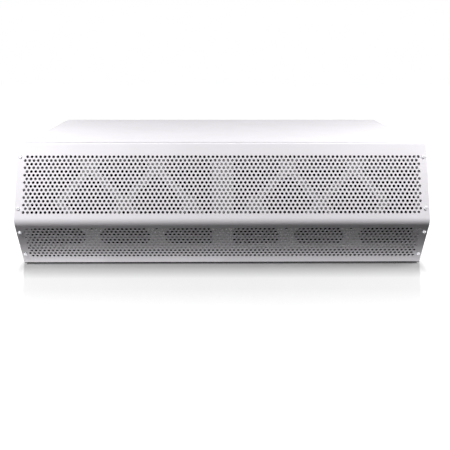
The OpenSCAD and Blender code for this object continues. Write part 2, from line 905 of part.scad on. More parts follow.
module motor_shell() {
  color([0.16, 0.17, 0.18]) difference() {
    on_shaft(motor_d, -motor_len / 2, motor_len / 2);
    on_shaft(motor_d - 2 * shell_t, -motor_len / 2 - cut, motor_len / 2 + cut);
  }
}

// The right-hand end bell: a dished cap with a bearing seat inside and a hub outside.
module motor_bell() {
  x0 = motor_len / 2;
  x1 = x0 + bell_len;
  difference() {
    union() {
      on_shaft(motor_d, x0, x0 + bell_rim);
      on_shaft(motor_d - 2 * bell_rim, x0 + bell_rim, x1);
      on_shaft(hub_d, x1, x1 + hub_len);
    }
    on_shaft(motor_d - 2 * shell_t - 2 * coil_t, x0 - cut, x1 - shell_t);
    on_shaft(shaft_d + 2 * groove, x0, x1 + hub_len + cut);
    on_shaft(bearing_d, x0, x1 + bearing_depth);
  }
}

module motor_bell_left() {
  color([0.2, 0.21, 0.22]) mirror([1, 0, 0]) motor_bell();
}

module motor_bell_right() {
  color([0.2, 0.21, 0.22]) motor_bell();
}

// Sleeve bearings in the end bells, with a running fit on the shaft.
module motor_bearings() {
  x1 = motor_len / 2 + bell_len + bearing_depth;
  color([0.7, 0.55, 0.3]) for (side = [0, 1]) mirror([side, 0, 0]) difference() {
    on_shaft(bearing_d, x1 - bearing_len, x1);
    on_shaft(shaft_d + 2 * pin_gap, 0, x1 + cut);
  }
}

// Rubber rings on the bells' hubs, each with a groove that the cradle's ear enters.
module mounting_rings() {
  color([0.08, 0.08, 0.08]) for (side = [-1, 1]) difference() {
    on_shaft(ring_d, side * ear_x - hub_len / 2, side * ear_x + hub_len / 2);
    on_shaft(hub_d, side * ear_x - hub_len, side * ear_x + hub_len);
    difference() {
      on_shaft(ring_d + 2 * cut, side * ear_x - ear_t / 2, side * ear_x + ear_t / 2);
      on_shaft(ring_d - 2 * groove, side * ear_x - ear_t, side * ear_x + ear_t);
    }
  }
}

// A bent plate with two upright ears that hold the rubber rings from below.
module motor_cradle() {
  color([0.25, 0.26, 0.28]) difference() {
    union() {
      box([-ear_x - ear_t / 2, shaft_y - cradle_w / 2, deck_top],
          [ear_x + ear_t / 2, shaft_y + cradle_w / 2, deck_top + ear_t]);
      for (side = [-1, 1]) translate([side * ear_x, 0, 0]) along_x(ear_t) polygon([
        [shaft_y - cradle_w / 2, deck_top], [shaft_y + cradle_w / 2, deck_top],
        [shaft_y + ring_d / 2 + ear_shoulder, shaft_z], [shaft_y - ring_d / 2 - ear_shoulder, shaft_z]
      ]);
    }
    on_shaft(ring_d - 2 * groove, -2 * ear_x, 2 * ear_x);
  }
}

// Half-round straps over the rubber rings, screwed to the ears' shoulders.
module ring_clamps() {
  color([0.6, 0.61, 0.63]) for (side = [-1, 1]) translate([side * ear_x, 0, 0]) along_x(clamp_w) difference() {
    union() {
      translate([shaft_y, shaft_z]) circle(d = ring_d + 2 * blower_sheet, $fn = round_fn);
      translate([shaft_y - ring_d / 2 - ear_shoulder, shaft_z])
        square([ring_d + 2 * ear_shoulder, blower_sheet]);
    }
    translate([shaft_y, shaft_z]) circle(d = ring_d, $fn = round_fn);
    translate([shaft_y - ring_d, shaft_z - ring_d]) square([2 * ring_d, ring_d]);
  }
}

// ---- Electrical --------------------------------------------------------------------------

module capacitor() {
  color([0.78, 0.79, 0.8]) translate([-cap_len / 2, cap_y, cap_z]) rotate([0, 90, 0]) {
    cylinder(d = cap_d, h = cap_len, $fn = round_fn);
    for (side = [-1, 1]) translate([0, side * cap_d / 5, cap_len]) cube(cap_tab, center = true);
  }
}

// A strap clip: a half ring over the capacitor with two feet on the deck.
module capacitor_clip() {
  tuck = cap_d / 2 - foot / 3;
  color([0.6, 0.61, 0.63]) along_x(cap_clip_w) difference() {
    union() {
      translate([cap_y, cap_z]) circle(d = cap_d + 2 * blower_sheet, $fn = round_fn);
      translate([cap_y - cap_d / 2 - blower_sheet, deck_top])
        square([cap_d + 2 * blower_sheet, cap_z - deck_top]);
      translate([cap_y - tuck - foot, deck_top]) square([2 * (tuck + foot), blower_sheet]);
    }
    translate([cap_y, cap_z]) circle(d = cap_d, $fn = round_fn);
    translate([cap_y - cap_d / 2, deck_top + blower_sheet]) square([cap_d, cap_z - deck_top - blower_sheet]);
  }
}

// The box beside the conduit hole. Its open front takes the lid.
module control_box() {
  low = [box_x0, box_y0, base_top];
  color([0.8, 0.81, 0.83]) difference() {
    translate(low) cube(box_size);
    translate(low + [box_wall, -cut, box_wall])
      cube([box_size[0] - 2 * box_wall, box_size[1] + cut - box_wall, box_size[2] - 2 * box_wall]);
    conduit_hole();
    translate([box_x0 - cut, conduit_y, conduit_z]) rotate([0, 90, 0])
      cylinder(d = gland_d, h = 2 * cut + box_wall, $fn = small_fn);
  }
}

module control_box_lid() {
  color([0.8, 0.81, 0.83]) translate([box_x0, box_y0 - box_wall, base_top]) union() {
    cube([box_size[0], box_wall, box_size[2]]);
    translate([box_wall, 0, box_size[2] - 2 * box_wall])
      cube([box_size[0] - 2 * box_wall, lid_lip, box_wall]);
  }
}

// A moulded block at the box's rear wall, with a row of screw wells in its front.
module terminal_block() {
  translate([box_x0 + block_inset, box_y0 + box_size[1] - box_wall - block_size[1], base_top + block_inset])
    color([0.92, 0.9, 0.82]) difference() {
      cube(block_size);
      for (i = [0 : block_ways - 1])
        translate([(i + 0.5) * block_size[0] / block_ways, -cut, block_size[2] / 2])
          rotate([-90, 0, 0]) cylinder(d = block_well, h = block_well, $fn = small_fn);
    }
}

// Routes of the motor's and the capacitor's leads to the box, as hand-set corner points.
motor_route = [
  [40, shaft_y - motor_d / 2, shaft_z], [40, shaft_y - motor_d / 2 - 10, shaft_z],
  [44, shaft_y - motor_d / 2 - 18, shaft_z - 10], [60, deck_y + 40, deck_top + 20],
  [74, deck_y + 12, deck_top + 9], [84, deck_y - 4, deck_top + 6], [92, deck_y - 10, deck_top - 4],
  [104, deck_y - 14, conduit_z], [140, deck_y - 20, conduit_z - 12], [200, deck_y - 30, conduit_z - 14],
  [260, deck_y - 44, conduit_z - 8], [box_x0 - 24, conduit_y, conduit_z],
  [box_x0 + 14, conduit_y, conduit_z], [box_x0 + 30, conduit_y + 12, conduit_z]
];

// A round cable swept through its points, each ring square to the run.
module cable(points, d) {
  sides = 10;
  n = len(points);
  function heading(i) = let (v = points[min(i + 1, n - 1)] - points[max(i - 1, 0)]) v / norm(v);
  function ring(i) = let (
    f = heading(i), up = abs(f[2]) > 0.9 ? [0, 1, 0] : [0, 0, 1],
    s = cross(f, up), u = s / norm(s), v = cross(u, f)
  ) [for (k = [0 : sides - 1]) points[i] + d / 2 * (cos(360 * k / sides) * u + sin(360 * k / sides) * v)];
  polyhedron(
    points = [for (i = [0 : n - 1]) each ring(i)],
    faces = concat(
      [[for (k = [0 : sides - 1]) k]],
      [for (i = [0 : n - 2], k = [0 : sides - 1])
        [i * sides + k, (i + 1) * sides + k, (i + 1) * sides + (k + 1) % sides, i * sides + (k + 1) % sides]],
      [[for (k = [sides - 1 : -1 : 0]) (n - 1) * sides + k]]
    )
  );
}

module wiring() {
  color([0.1, 0.1, 0.11]) cable(motor_route, cable_d);
}

intake_cover();
cover_screws();
top_panel();
back_panel();
base_panel();
end_panel_left();
end_panel_right();
filter_frame_left();
filter_frame_right();
filter_media_left();
filter_media_right();
filter_rail_top();
filter_rail_bottom();
filter_sill();
wall_rail_left();
wall_rail_right();
blower_deck();
nozzle_wall_front();
nozzle_wall_rear();
nozzle_end_left();
nozzle_end_right();
vane_front();
vane_middle();
vane_rear();
vane_pins_front();
vane_pins_middle();
vane_pins_rear();
vane_bushings();
scroll_wrap_left();
scroll_wrap_right();
scroll_side_left_outer();
scroll_side_left_inner();
scroll_side_right_inner();
scroll_side_right_outer();
inlet_ring_left_outer();
inlet_ring_left_inner();
inlet_ring_right_inner();
inlet_ring_right_outer();
cutoff_left();
cutoff_right();
housing_bolts();
wheel_left();
wheel_right();
wheel_setscrews();
motor_shaft();
motor_rotor();
motor_shell();
motor_bell_left();
motor_bell_right();
motor_stator();
motor_bearings();
motor_cradle();
mounting_rings();
ring_clamps();
capacitor();
capacitor_clip();
control_box();
control_box_lid();
terminal_block();
wiring();
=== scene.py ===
# %% [markdown]
# # An air curtain: a V-fronted cabinet of bent white sheet
# The real object blows a flat sheet of air down across a doorway. Fans pull room air in through a
# perforated front cover and a pair of panel filters, and push it out through a long slot underneath. The
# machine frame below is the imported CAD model. This script gives it its finishes, a finely perforated cover,
# screw heads with a cross recess, pleated filter felt, and a studio.

# %% Load the frame
import json
import math
import random
import bpy
import bmesh
from mathutils import Matrix, Vector


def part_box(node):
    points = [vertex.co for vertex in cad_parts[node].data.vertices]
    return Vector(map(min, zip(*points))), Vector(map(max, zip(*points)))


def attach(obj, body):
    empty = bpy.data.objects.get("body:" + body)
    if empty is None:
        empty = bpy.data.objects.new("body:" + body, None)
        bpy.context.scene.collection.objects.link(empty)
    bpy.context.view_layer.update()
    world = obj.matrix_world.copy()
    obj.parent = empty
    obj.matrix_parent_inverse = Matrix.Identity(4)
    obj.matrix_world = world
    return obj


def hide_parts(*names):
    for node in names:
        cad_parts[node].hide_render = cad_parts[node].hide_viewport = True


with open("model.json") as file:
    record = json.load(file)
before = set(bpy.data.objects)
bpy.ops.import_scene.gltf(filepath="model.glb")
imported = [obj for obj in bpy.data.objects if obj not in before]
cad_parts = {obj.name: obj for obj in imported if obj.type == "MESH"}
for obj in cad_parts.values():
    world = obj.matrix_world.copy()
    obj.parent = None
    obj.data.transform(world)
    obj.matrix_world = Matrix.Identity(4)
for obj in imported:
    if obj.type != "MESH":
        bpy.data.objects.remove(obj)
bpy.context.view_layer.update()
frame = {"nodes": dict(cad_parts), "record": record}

nodes = frame["nodes"]
subparts = frame["record"]["subparts"]
random.seed(7)

# %% [markdown]
# All lengths are in metres and in the frame of the CAD model: X runs along the cabinet, the intake looks
# towards -Y, and the cabinet stands on Z = 0. The sizes that several pieces share are named here, and the
# cover's outer box is measured on its CAD node. The cover is a V: its upper face leans back from a crease
# and its lower face tucks under it, and the crease itself is rounded off.

# %% Shared sizes
MM = 0.001
touching = 0.01 * MM
cover_low, cover_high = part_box("intake_cover")
cover_half = cover_high.x
cabinet_top = cover_high.z
sheet = 1.2 * MM
crease_z = 110 * MM
nose_radius = 22 * MM
upper_setback, lower_setback = 62 * MM, 57.5 * MM
upper_lean = math.atan2(upper_setback, cabinet_top - crease_z)
lower_lean = math.atan2(lower_setback, crease_z)
lip_depth = 24 * MM
return_depth = 12 * MM
fold_radius = 1.8 * MM


def inset_corner():
    """How far the crease moves back and up for each unit that both faces move inwards."""
    slopes = math.tan(upper_lean) + math.tan(lower_lean)
    up = (1 / math.cos(lower_lean) - 1 / math.cos(upper_lean)) / slopes
    return 1 / math.cos(upper_lean) + up * math.tan(upper_lean), up


corner_back, corner_up = inset_corner()
crease_y = cover_low.y - nose_radius * (corner_back - 1)
crease = Vector((0, crease_y, crease_z))
bend_centre = crease + nose_radius * Vector((0, corner_back, corner_up))
bend_run = nose_radius * math.tan((upper_lean + lower_lean) / 2)
upper_length = (cabinet_top - crease_z) / math.cos(upper_lean)
lower_length = crease_z / math.cos(lower_lean)
print("crease at y %.4f, faces %.4f and %.4f long" % (crease_y, upper_length, lower_length))

# %% [markdown]
# Each face of the cover gets a frame of its own: X along the cover, Y up or down the slope from the crease,
# and Z out of the metal. A piece is drawn flat in that frame and then tipped into place in one step, which
# keeps the drawing simple and puts the final place in the mesh.

# %% Frames of the two faces
def face_frame(along, slope, out):
    """A matrix that tips flat work onto a face of the cover, with its origin on the crease."""
    turn = Matrix((along, slope, out)).transposed().to_4x4()
    return Matrix.Translation(crease) @ turn


upper_slope = (0, math.sin(upper_lean), math.cos(upper_lean))
lower_slope = (0, math.sin(lower_lean), -math.cos(lower_lean))
upper_out = Vector((0, -math.cos(upper_lean), math.sin(upper_lean)))
lower_out = Vector((0, -math.cos(lower_lean), -math.sin(lower_lean)))
upper_frame = face_frame((1, 0, 0), upper_slope, upper_out)
lower_frame = face_frame((-1, 0, 0), lower_slope, lower_out)
print("faces lean %.1f and %.1f degrees" % (math.degrees(upper_lean), math.degrees(lower_lean)))

# %% [markdown]
# ## Camera
# The photograph was taken with a normal lens, from in front of the cabinet's middle and looking down by
# twelve degrees. The lens, the place and the turns were fitted to the rows of holes and to the corners of
# the cover, and the shift of the lens stands for how the photograph was cropped. The camera comes first so
# that every later choice is judged through it.

# %% Camera
camera_place = (-0.0120, -1.6485, 0.4978)
look_down, look_aside, roll = (math.radians(angle) for angle in (11.924, -0.693, 0.086))
camera = bpy.data.objects.new("camera", bpy.data.cameras.new("camera"))
bpy.context.scene.collection.objects.link(camera)
camera.data.sensor_width = 36
camera.data.lens = 52.52
camera.data.shift_y = -0.1002
camera.data.dof.use_dof = False
camera.matrix_world = (
    Matrix.Translation(camera_place)
    @ Matrix.Rotation(look_aside, 4, "Z")
    @ Matrix.Rotation(math.pi / 2 - look_down, 4, "X")
    @ Matrix.Rotation(roll, 4, "Z")
)
bpy.context.scene.camera = camera
print("camera at", tuple(round(v, 4) for v in camera.matrix_world.translation))

# %% [markdown]
# ## Small helpers for node trees
# The finishes, the floor and the sky are all node trees, built with the same few steps: add a node, link
# two sockets, run a value from one range to another, and combine two values.

# %% Node helpers
def add_node(owner, kind, values=None, **settings):
    """A node in the tree of a material or world, with settings as keywords and socket values by name."""
    node = owner.node_tree.nodes.new(kind)
    for key, value in settings.items():
        setattr(node, key, value)
    for socket, value in (values or {}).items():
        node.inputs[socket].default_value = value
    return node


def link(owner, source, target):
    owner.node_tree.links.new(source, target)


def remap(owner, source, source_range, new_range=(0.0, 1.0)):
    """Runs a value from one range to another, and holds it at the ends."""
    ends = dict(zip(("From Min", "From Max", "To Min", "To Max"), (*source_range, *new_range)))
    step = add_node(owner, "ShaderNodeMapRange", ends)
    link(owner, source, step.inputs["Value"])
    return step.outputs["Result"]


def combine(owner, operation, first, second):
    step = add_node(owner, "ShaderNodeMath", operation=operation)
    link(owner, first, step.inputs[0])
    link(owner, second, step.inputs[1])
    return step.outputs[0]


print("node helpers ready")

# %% [markdown]
# ## Small helpers for finishes
# Every finish reads Object coordinates, so a pattern sits still on its piece and its grain has a real size
# in metres. Four helpers cover most needs: a noise of a given grain size, a ramp that turns it into two
# tones, a change of gloss, and a bump. What is the same all over a surface is set on the shader's own
# socket.

# %% Finish helpers
finishes = {}


def shader_socket(finish, name):
    return finish.node_tree.nodes["Principled BSDF"].inputs[name]


def new_finish(slot, colour, roughness, metallic=0.0, **sockets):
    """A material with one Principled shader, kept under its slot. Extra keywords set more of its sockets."""
    finish = bpy.data.materials.new(slot + "_finish")
    finishes[slot] = finish
    finish.use_nodes = True
    shader_socket(finish, "Base Color").default_value = (*colour, 1)
    shader_socket(finish, "Roughness").default_value = roughness
    shader_socket(finish, "Metallic").default_value = metallic
    for socket, value in sockets.items():
        shader_socket(finish, socket.replace("_", " ")).default_value = value
    return finish


def object_place(finish, stretch=(1, 1, 1)):
    """Object coordinates, scaled along the piece's axes: a pattern is drawn out where the scale is small."""
    place = add_node(finish, "ShaderNodeTexCoord")
    mapping = add_node(finish, "ShaderNodeMapping", {"Scale": stretch})
    link(finish, place.outputs["Object"], mapping.inputs["Vector"])
    return mapping.outputs["Vector"]


def grain(finish, size, detail, stretch=(1, 1, 1)):
    """Soft noise whose blotches are about size metres across."""
    noise = add_node(finish, "ShaderNodeTexNoise", {"Scale": 1 / size, "Detail": detail})
    link(finish, object_place(finish, stretch), noise.inputs["Vector"])
    return noise.outputs["Fac"]


def two_tones(finish, factor, dark, light, low=0.35, high=0.65):
    """The shader's base colour runs from dark to light as the factor goes from low to high."""
    ramp = add_node(finish, "ShaderNodeValToRGB")
    for element, position, tone in zip(ramp.color_ramp.elements, (low, high), (dark, light)):
        element.position = position
        element.color = (*tone, 1)
    link(finish, factor, ramp.inputs["Fac"])
    link(finish, ramp.outputs["Color"], shader_socket(finish, "Base Color"))


def vary_roughness(finish, factor, smooth, rough):
    middle_of_noise = (0.3, 0.7)
    spread = remap(finish, factor, middle_of_noise, (smooth, rough))
    link(finish, spread, shader_socket(finish, "Roughness"))


def raise_bump(finish, height, depth, strength):
    """Relief of the given depth in metres."""
    bump = add_node(finish, "ShaderNodeBump", {"Strength": strength, "Distance": depth})
    link(finish, height, bump.inputs["Height"])
    link(finish, bump.outputs["Normal"], shader_socket(finish, "Normal"))


print("finish helpers ready")

# %% [markdown]
# ## White powder coat
# The cabinet and cover are sprayed with a white powder that melts into a satin skin with a faint orange
# peel. Three noises do it: one of nine centimetres shifts the white by a hair, one of three centimetres
# shifts the gloss, and one of a millimetre and a half gives the peel. The white leans a little to pink, as
# in the photo.

# %% White powder coat
white_paint = new_finish("white_paint", (0.854, 0.829, 0.868), 0.5, Specular_IOR_Level=0.12)
patches = grain(white_paint, 90 * MM, detail=4)
two_tones(white_paint, patches, dark=(0.841, 0.816, 0.853), light=(0.865, 0.84, 0.881))
vary_roughness(white_paint, grain(white_paint, 30 * MM, detail=5), smooth=0.44, rough=0.56)
raise_bump(white_paint, grain(white_paint, 1.6 * MM, detail=2), depth=0.06 * MM, strength=0.5)
print("white powder coat ready")

# %% [markdown]
# ## Zinc-coated sheet
# The inner sheet metal is hot-dip galvanised: the zinc freezes in flat crystals, each with its own slight
# brightness. A Voronoi texture gives every crystal one tone; its cells are about a centimetre wide.

# %% Zinc-coated sheet
crystal_size = 11 * MM
darkest, brightest = (0.8, 0.8, 0.8), (1.08, 1.09, 1.12)


def zinc(slot, tone):
    """Zinc whose crystals are a fifth darker to a tenth brighter than a tone."""
    finish = new_finish(slot, (tone, tone, tone), 0.4, metallic=1.0)
    crystals = add_node(finish, "ShaderNodeTexVoronoi", {"Scale": 1 / crystal_size})
    link(finish, object_place(finish), crystals.inputs["Vector"])
    split = add_node(finish, "ShaderNodeSeparateColor")
    link(finish, crystals.outputs["Color"], split.inputs["Color"])
    dark, light = ([tone * share for share in shares] for shares in (darkest, brightest))
    two_tones(finish, split.outputs["Red"], dark, light, low=0.0, high=1.0)
    vary_roughness(finish, split.outputs["Green"], smooth=0.32, rough=0.5)
    raise_bump(finish, grain(finish, 4 * MM, detail=3), depth=0.05 * MM, strength=0.4)


zinc("galvanised", 0.5)
zinc("wheel_steel", 0.45)
print("zinc finishes ready")

# %% [markdown]
# ## Bare and plated metals
# Drawn and turned parts carry fine lines rather than crystals. One helper stretches a noise and uses it for
# tone, gloss and relief: along X for the extruded vanes and the ground shaft, square to X for the core,
# which is a stack of thin sheets, and not at all for plated, painted and cast metal.

# %% Bare and plated metals
along_x, square_to_x, even = (0.03, 1, 1), (1, 0.02, 0.02), (1, 1, 1)


def drawn_metal(slot, dark, light, roughness, line=0.8 * MM, stretch=along_x):
    finish = new_finish(slot, light, roughness, metallic=1.0)
    lines = grain(finish, line, 2, stretch)
    two_tones(finish, lines, dark, light)
    vary_roughness(finish, lines, roughness * 0.8, roughness * 1.25)
    raise_bump(finish, lines, depth=0.03 * MM, strength=0.5)


drawn_metal("vane_aluminium", (0.66, 0.67, 0.69), (0.8, 0.81, 0.82), 0.33)
drawn_metal("shaft_steel", (0.5, 0.5, 0.52), (0.66, 0.66, 0.67), 0.25)
drawn_metal("screw_steel", (0.5, 0.51, 0.53), (0.64, 0.64, 0.66), 0.34, 1.5 * MM, even)
drawn_metal("black_steel", (0.03, 0.03, 0.032), (0.07, 0.07, 0.072), 0.45, 1.5 * MM, even)
drawn_metal("can_aluminium", (0.66, 0.67, 0.68), (0.78, 0.79, 0.8), 0.28)
drawn_metal("bearing_bronze", (0.4, 0.24, 0.1), (0.56, 0.36, 0.16), 0.42, 1 * MM, even)
drawn_metal("core_steel", (0.14, 0.14, 0.15), (0.34, 0.34, 0.35), 0.45, 0.7 * MM, square_to_x)
print("metals ready")

# %% [markdown]
# ## Card, rubber, plastics and thick paint
# The filter's board is die-cut white card with short fibres. Rubber and plastics are moulded: an even tone
# with a fine matt grain. The dark paint of the motor and its cradle has the same make-up with a coarser
# grain, so one helper does them all. The rails get the same near black, which is painted shade: it stands for
# the shade that lies on them inside the cabinet.

# %% Card, rubber, plastics and thick paint
def moulded(slot, dark, light, roughness, size=2 * MM, depth=0.08 * MM):
    finish = new_finish(slot, light, roughness)
    two_tones(finish, grain(finish, 20 * MM, detail=4), dark, light)
    vary_roughness(finish, grain(finish, 10 * MM, detail=3), roughness * 0.85, min(1.0, roughness * 1.15))
    raise_bump(finish, grain(finish, size, detail=3), depth, strength=0.6)


moulded("filter_board", (0.62, 0.62, 0.61), (0.72, 0.72, 0.71), 0.85, 1.2 * MM, 0.1 * MM)
moulded("bushing_plastic", (0.012, 0.012, 0.013), (0.022, 0.022, 0.023), 0.5)
moulded("mount_rubber", (0.012, 0.012, 0.012), (0.024, 0.024, 0.024), 0.8)
moulded("terminal_plastic", (0.74, 0.7, 0.58), (0.8, 0.76, 0.64), 0.45)
moulded("cable_jacket", (0.014, 0.014, 0.015), (0.026, 0.026, 0.027), 0.55)
moulded("motor_paint", (0.016, 0.017, 0.019), (0.028, 0.03, 0.033), 0.35, 3 * MM, 0.2 * MM)
# Painted shade: the rails are near black for the shade that falls on them behind the cover.
moulded("rail_paint", (0.03, 0.03, 0.032), (0.055, 0.055, 0.058), 0.6, 3 * MM, 0.1 * MM)
moulded("cradle_paint", (0.03, 0.031, 0.034), (0.05, 0.052, 0.056), 0.45, 3 * MM, 0.1 * MM)
print("moulded finishes ready")

# %% [markdown]
# ## Filter felt
# The felt of the filters carries painted shade and painted light: it is painted dark between the folds, for
# the shade deep in the pleats, and paler on the folds themselves, which lie against the card where the light
# falls.
# The depth of a point behind the card, read from Object coordinates, runs the tone from one to the other, and
# a fine noise breaks it up into fibres.

# %% Filter felt
painted_light_depth, painted_shade_depth = 2 * MM, 6 * MM
felt_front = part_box("filter_media_left")[0].y
filter_media = new_finish("filter_media", (0.02, 0.02, 0.022), 0.95, Specular_IOR_Level=0.05)
axes = add_node(filter_media, "ShaderNodeSeparateXYZ")
link(filter_media, object_place(filter_media), axes.inputs["Vector"])
painted_shade_to_light = (felt_front + painted_shade_depth, felt_front + painted_light_depth)
painted_fold_light = remap(filter_media, axes.outputs["Y"], painted_shade_to_light)
painted_light_grain = combine(filter_media, "MULTIPLY", painted_fold_light, grain(filter_media, 2 * MM, detail=4))
# Painted shade and painted light: near black deep in the pleats, pale grey on the folds against the card.
two_tones(filter_media, painted_light_grain, (0.008, 0.008, 0.009), (0.34, 0.34, 0.35), low=0.0, high=0.5)
raise_bump(filter_media, grain(filter_media, 0.9 * MM, detail=3), depth=0.4 * MM, strength=0.6)
print("felt runs from its folds at y %.4f" % felt_front)

# %% [markdown]
# Each CAD node names the material slot of its finish in the record, so the finishes are handed out from
# there, and only the material changes: the meshes of the frame stay as they are.

# %% Hand the finishes out
for part in subparts:
    for slot in nodes[part["node"]].material_slots:
        slot.material = finishes[part["material_slot"]]
print("finished nodes:", len(subparts), "with", len(finishes), "finishes")

# %% [markdown]
# ## Intake cover
# The real cover is one sheet of perforated steel: 2484 holes of a quarter inch, staggered at sixty degrees,
# in 16 rows above the bend and 11 below. The CAD model keeps a fourth of the holes, so here all are drawn.
# A staggered pattern is a honeycomb, so one hexagon with a round hole is made, copied along a row, and the
# row copied up the face. The cells weld into one sheet without any booleans, at eighteen faces a hole.

# %% One cell of the pattern
hole_pitch, hole_radius = 9.525 * MM, 3.175 * MM
row_pitch = hole_pitch * math.sqrt(3) / 2
holes_in_row = 92
hole_sides = 12


def verts_of(geometry):
    return [g for g in geometry if isinstance(g, bmesh.types.BMVert)]


def edges_round(verts):
    return list({e for v in verts for e in v.link_edges})


def add_cell(bm, x, y):
    """A hexagon with a round hole, its flat sides towards X. It returns all that the cell is made of."""
    outside = bmesh.ops.create_circle(bm, segments=6, radius=hole_pitch / math.sqrt(3))["verts"]
    rim = bmesh.ops.create_circle(bm, segments=hole_sides, radius=hole_radius)["verts"]
    verts = outside + rim
    bmesh.ops.bridge_loops(bm, edges=edges_round(verts))
    bmesh.ops.translate(bm, verts=verts, vec=(x, y, 0))
    return verts + edges_round(verts) + list({f for v in verts for f in v.link_faces})


def add_copy(bm, geometry, x, y):
    copy = bmesh.ops.duplicate(bm, geom=geometry)["geom"]
    bmesh.ops.translate(bm, verts=verts_of(copy), vec=(x, y, 0))
    return copy


def add_honeycomb(bm, rows, first):
    """Rows of cells from a first row near the crease. Every second row steps half a pitch."""
    weld = 2 * touching
    half_row = (holes_in_row - 1) / 2 * hole_pitch
    cell = add_cell(bm, -hole_pitch / 4 - half_row, first)
    row = list(cell)
    for column in range(1, holes_in_row):
        row += add_copy(bm, cell, column * hole_pitch, 0)
    for k in range(1, rows):
        add_copy(bm, row, hole_pitch / 2 if k % 2 else 0, k * row_pitch)
    bmesh.ops.remove_doubles(bm, verts=bm.verts, dist=weld)


print("a cell is %.3f mm wide round a %.2f mm hole" % (hole_pitch / MM, 2 * hole_radius / MM))

# %% [markdown]
# Round the honeycomb the sheet is plain. That margin is filled between the honeycomb's zigzag edge and the
# face's rectangle, with the screw holes left open in it. The rectangle stops short of the bend and of the
# folded edges, which are turned from its sides afterwards.

# %% A perforated face
flat_half = cover_half - fold_radius
screw_x = cover_half - 8.4 * MM
screw_hole = 2.1 * MM


def add_loop(bm, points):
    """A closed loop of edges through points."""
    verts = [bm.verts.new(p) for p in points]
    return [bm.edges.new((verts[i - 1], verts[i])) for i in range(len(verts))]


def fill_margin(bm, end, screw_rows):
    """Fills the plain sheet round the honeycomb. The sides of a hexagon are longer than those of a hole."""
    edge = [e for e in bm.edges if e.is_boundary and e.calc_length() > hole_radius]
    left, right = -flat_half, flat_half
    edge += add_loop(bm, ((left, bend_run, 0), (right, bend_run, 0), (right, end, 0), (left, end, 0)))
    for x in (-screw_x, screw_x):
        for y in screw_rows:
            rim = bmesh.ops.create_circle(bm, segments=16, radius=screw_hole)["verts"]
            bmesh.ops.translate(bm, verts=rim, vec=(x, y, 0))
            edge += edges_round(rim)
    bmesh.ops.triangle_fill(bm, use_beauty=True, edges=edge, normal=(0, 0, 1))


def perforated_face(place, rows, first, end, screw_rows):
    """One face of the cover, drawn flat and tipped into place."""
    bm = bmesh.new()
    add_honeycomb(bm, rows, first)
    fill_margin(bm, end, screw_rows)
    for face in bm.faces:
        face.normal_update()
    bmesh.ops.reverse_faces(bm, faces=[f for f in bm.faces if f.normal.z < 0])
    bm.transform(place)
    mesh = bpy.data.meshes.new("flat_face")
    bm.to_mesh(mesh)
    bm.free()
    return mesh


print("a flat face is %.4f wide, with screw holes %.4f from the middle" % (2 * flat_half, screw_x))

# %% [markdown]
# The rows of holes start at their own distance from the crease on each face. Two screws stand at each end
# of a face, one level with the second row and one near the last.

# %% The two flat faces
def fold_run(turn):
    """How much of a flat a fold takes up at its edge."""
    return fold_radius * math.tan(turn / 2)


upper_rows, lower_rows = 16, 11
upper_first, lower_first = 22.9 * MM, 19.5 * MM
upper_screws = [upper_first + rows * row_pitch for rows in (1, 15)]
lower_screws = [lower_first + rows * row_pitch for rows in (1, 9.3)]
top_turn, bottom_turn = math.pi / 2 - upper_lean, math.pi / 2 - lower_lean
upper_end, lower_end = upper_length - fold_run(top_turn), lower_length - fold_run(bottom_turn)
upper_face = perforated_face(upper_frame, upper_rows, upper_first, upper_end, upper_screws)
lower_face = perforated_face(lower_frame, lower_rows, lower_first, lower_end, lower_screws)
print("flat faces:", len(upper_face.polygons), "and", len(lower_face.polygons), "polygons")

# %% [markdown]
# A press brake bends the sheet at the nose and folds it over at the top and the bottom, where two lips
# reach back over the cabinet. Each bend is a spin of the flat's own edge about the centre of the bend, so
# that it leaves the flat without a step, and each lip is that edge carried on straight.

# %% Nose bend, folds and lips
bend_steps, fold_steps = 8, 4
cover = bmesh.new()
cover.from_mesh(upper_face)
cover.from_mesh(lower_face)


def edges_at(bm, point):
    """The edges that run along X through a point's depth and height."""
    def on_line(v):
        return abs(v.co.y - point.y) < touching and abs(v.co.z - point.z) < touching
    return [e for e in bm.edges if all(on_line(v) for v in e.verts)]


def turn_edge(bm, point, centre, turn, steps):
    """Spins the edge at a point about a centre, and returns where the edge ends up."""
    edges = edges_at(bm, point)
    geometry = edges + list({v for e in edges for v in e.verts})
    axis = (math.copysign(1, turn), 0, 0)
    before = set(bm.faces)
    bmesh.ops.spin(bm, geom=geometry, cent=centre, axis=axis, angle=abs(turn), steps=steps,
                   use_duplicate=False)
    for face in set(bm.faces) - before:
        face.smooth = True
    return centre + Matrix.Rotation(turn, 3, "X") @ (point - centre)


def add_lip(bm, point, reach):
    """Carries the edge at a point straight back to the depth given."""
    out = bmesh.ops.extrude_edge_only(bm, edges=edges_at(bm, point))["geom"]
    bmesh.ops.translate(bm, verts=verts_of(out), vec=(0, reach - point.y, 0))


def centre_inside(z, lean, rise):
    """Centre of a fold at height z, a fold's radius inside the flat that leans away from the crease."""
    return Vector((0, crease_y + fold_radius / math.cos(lean) + rise * math.tan(lean), z))


turn_edge(cover, bend_centre + nose_radius * upper_out, bend_centre, upper_lean + lower_lean, bend_steps)
top_centre = centre_inside(cabinet_top - fold_radius, upper_lean, cabinet_top - fold_radius - crease_z)
bottom_centre = centre_inside(fold_radius, lower_lean, crease_z - fold_radius)
top_end = turn_edge(cover, top_centre + fold_radius * upper_out, top_centre, -top_turn, fold_steps)
bottom_end = turn_edge(cover, bottom_centre + fold_radius * lower_out, bottom_centre, bottom_turn, fold_steps)
add_lip(cover, top_end, crease_y + upper_setback + lip_depth)
add_lip(cover, bottom_end, crease_y + lower_setback + lip_depth)
bmesh.ops.remove_doubles(cover, verts=cover.verts, dist=touching)
print("cover skin with bends:", len(cover.faces), "faces")

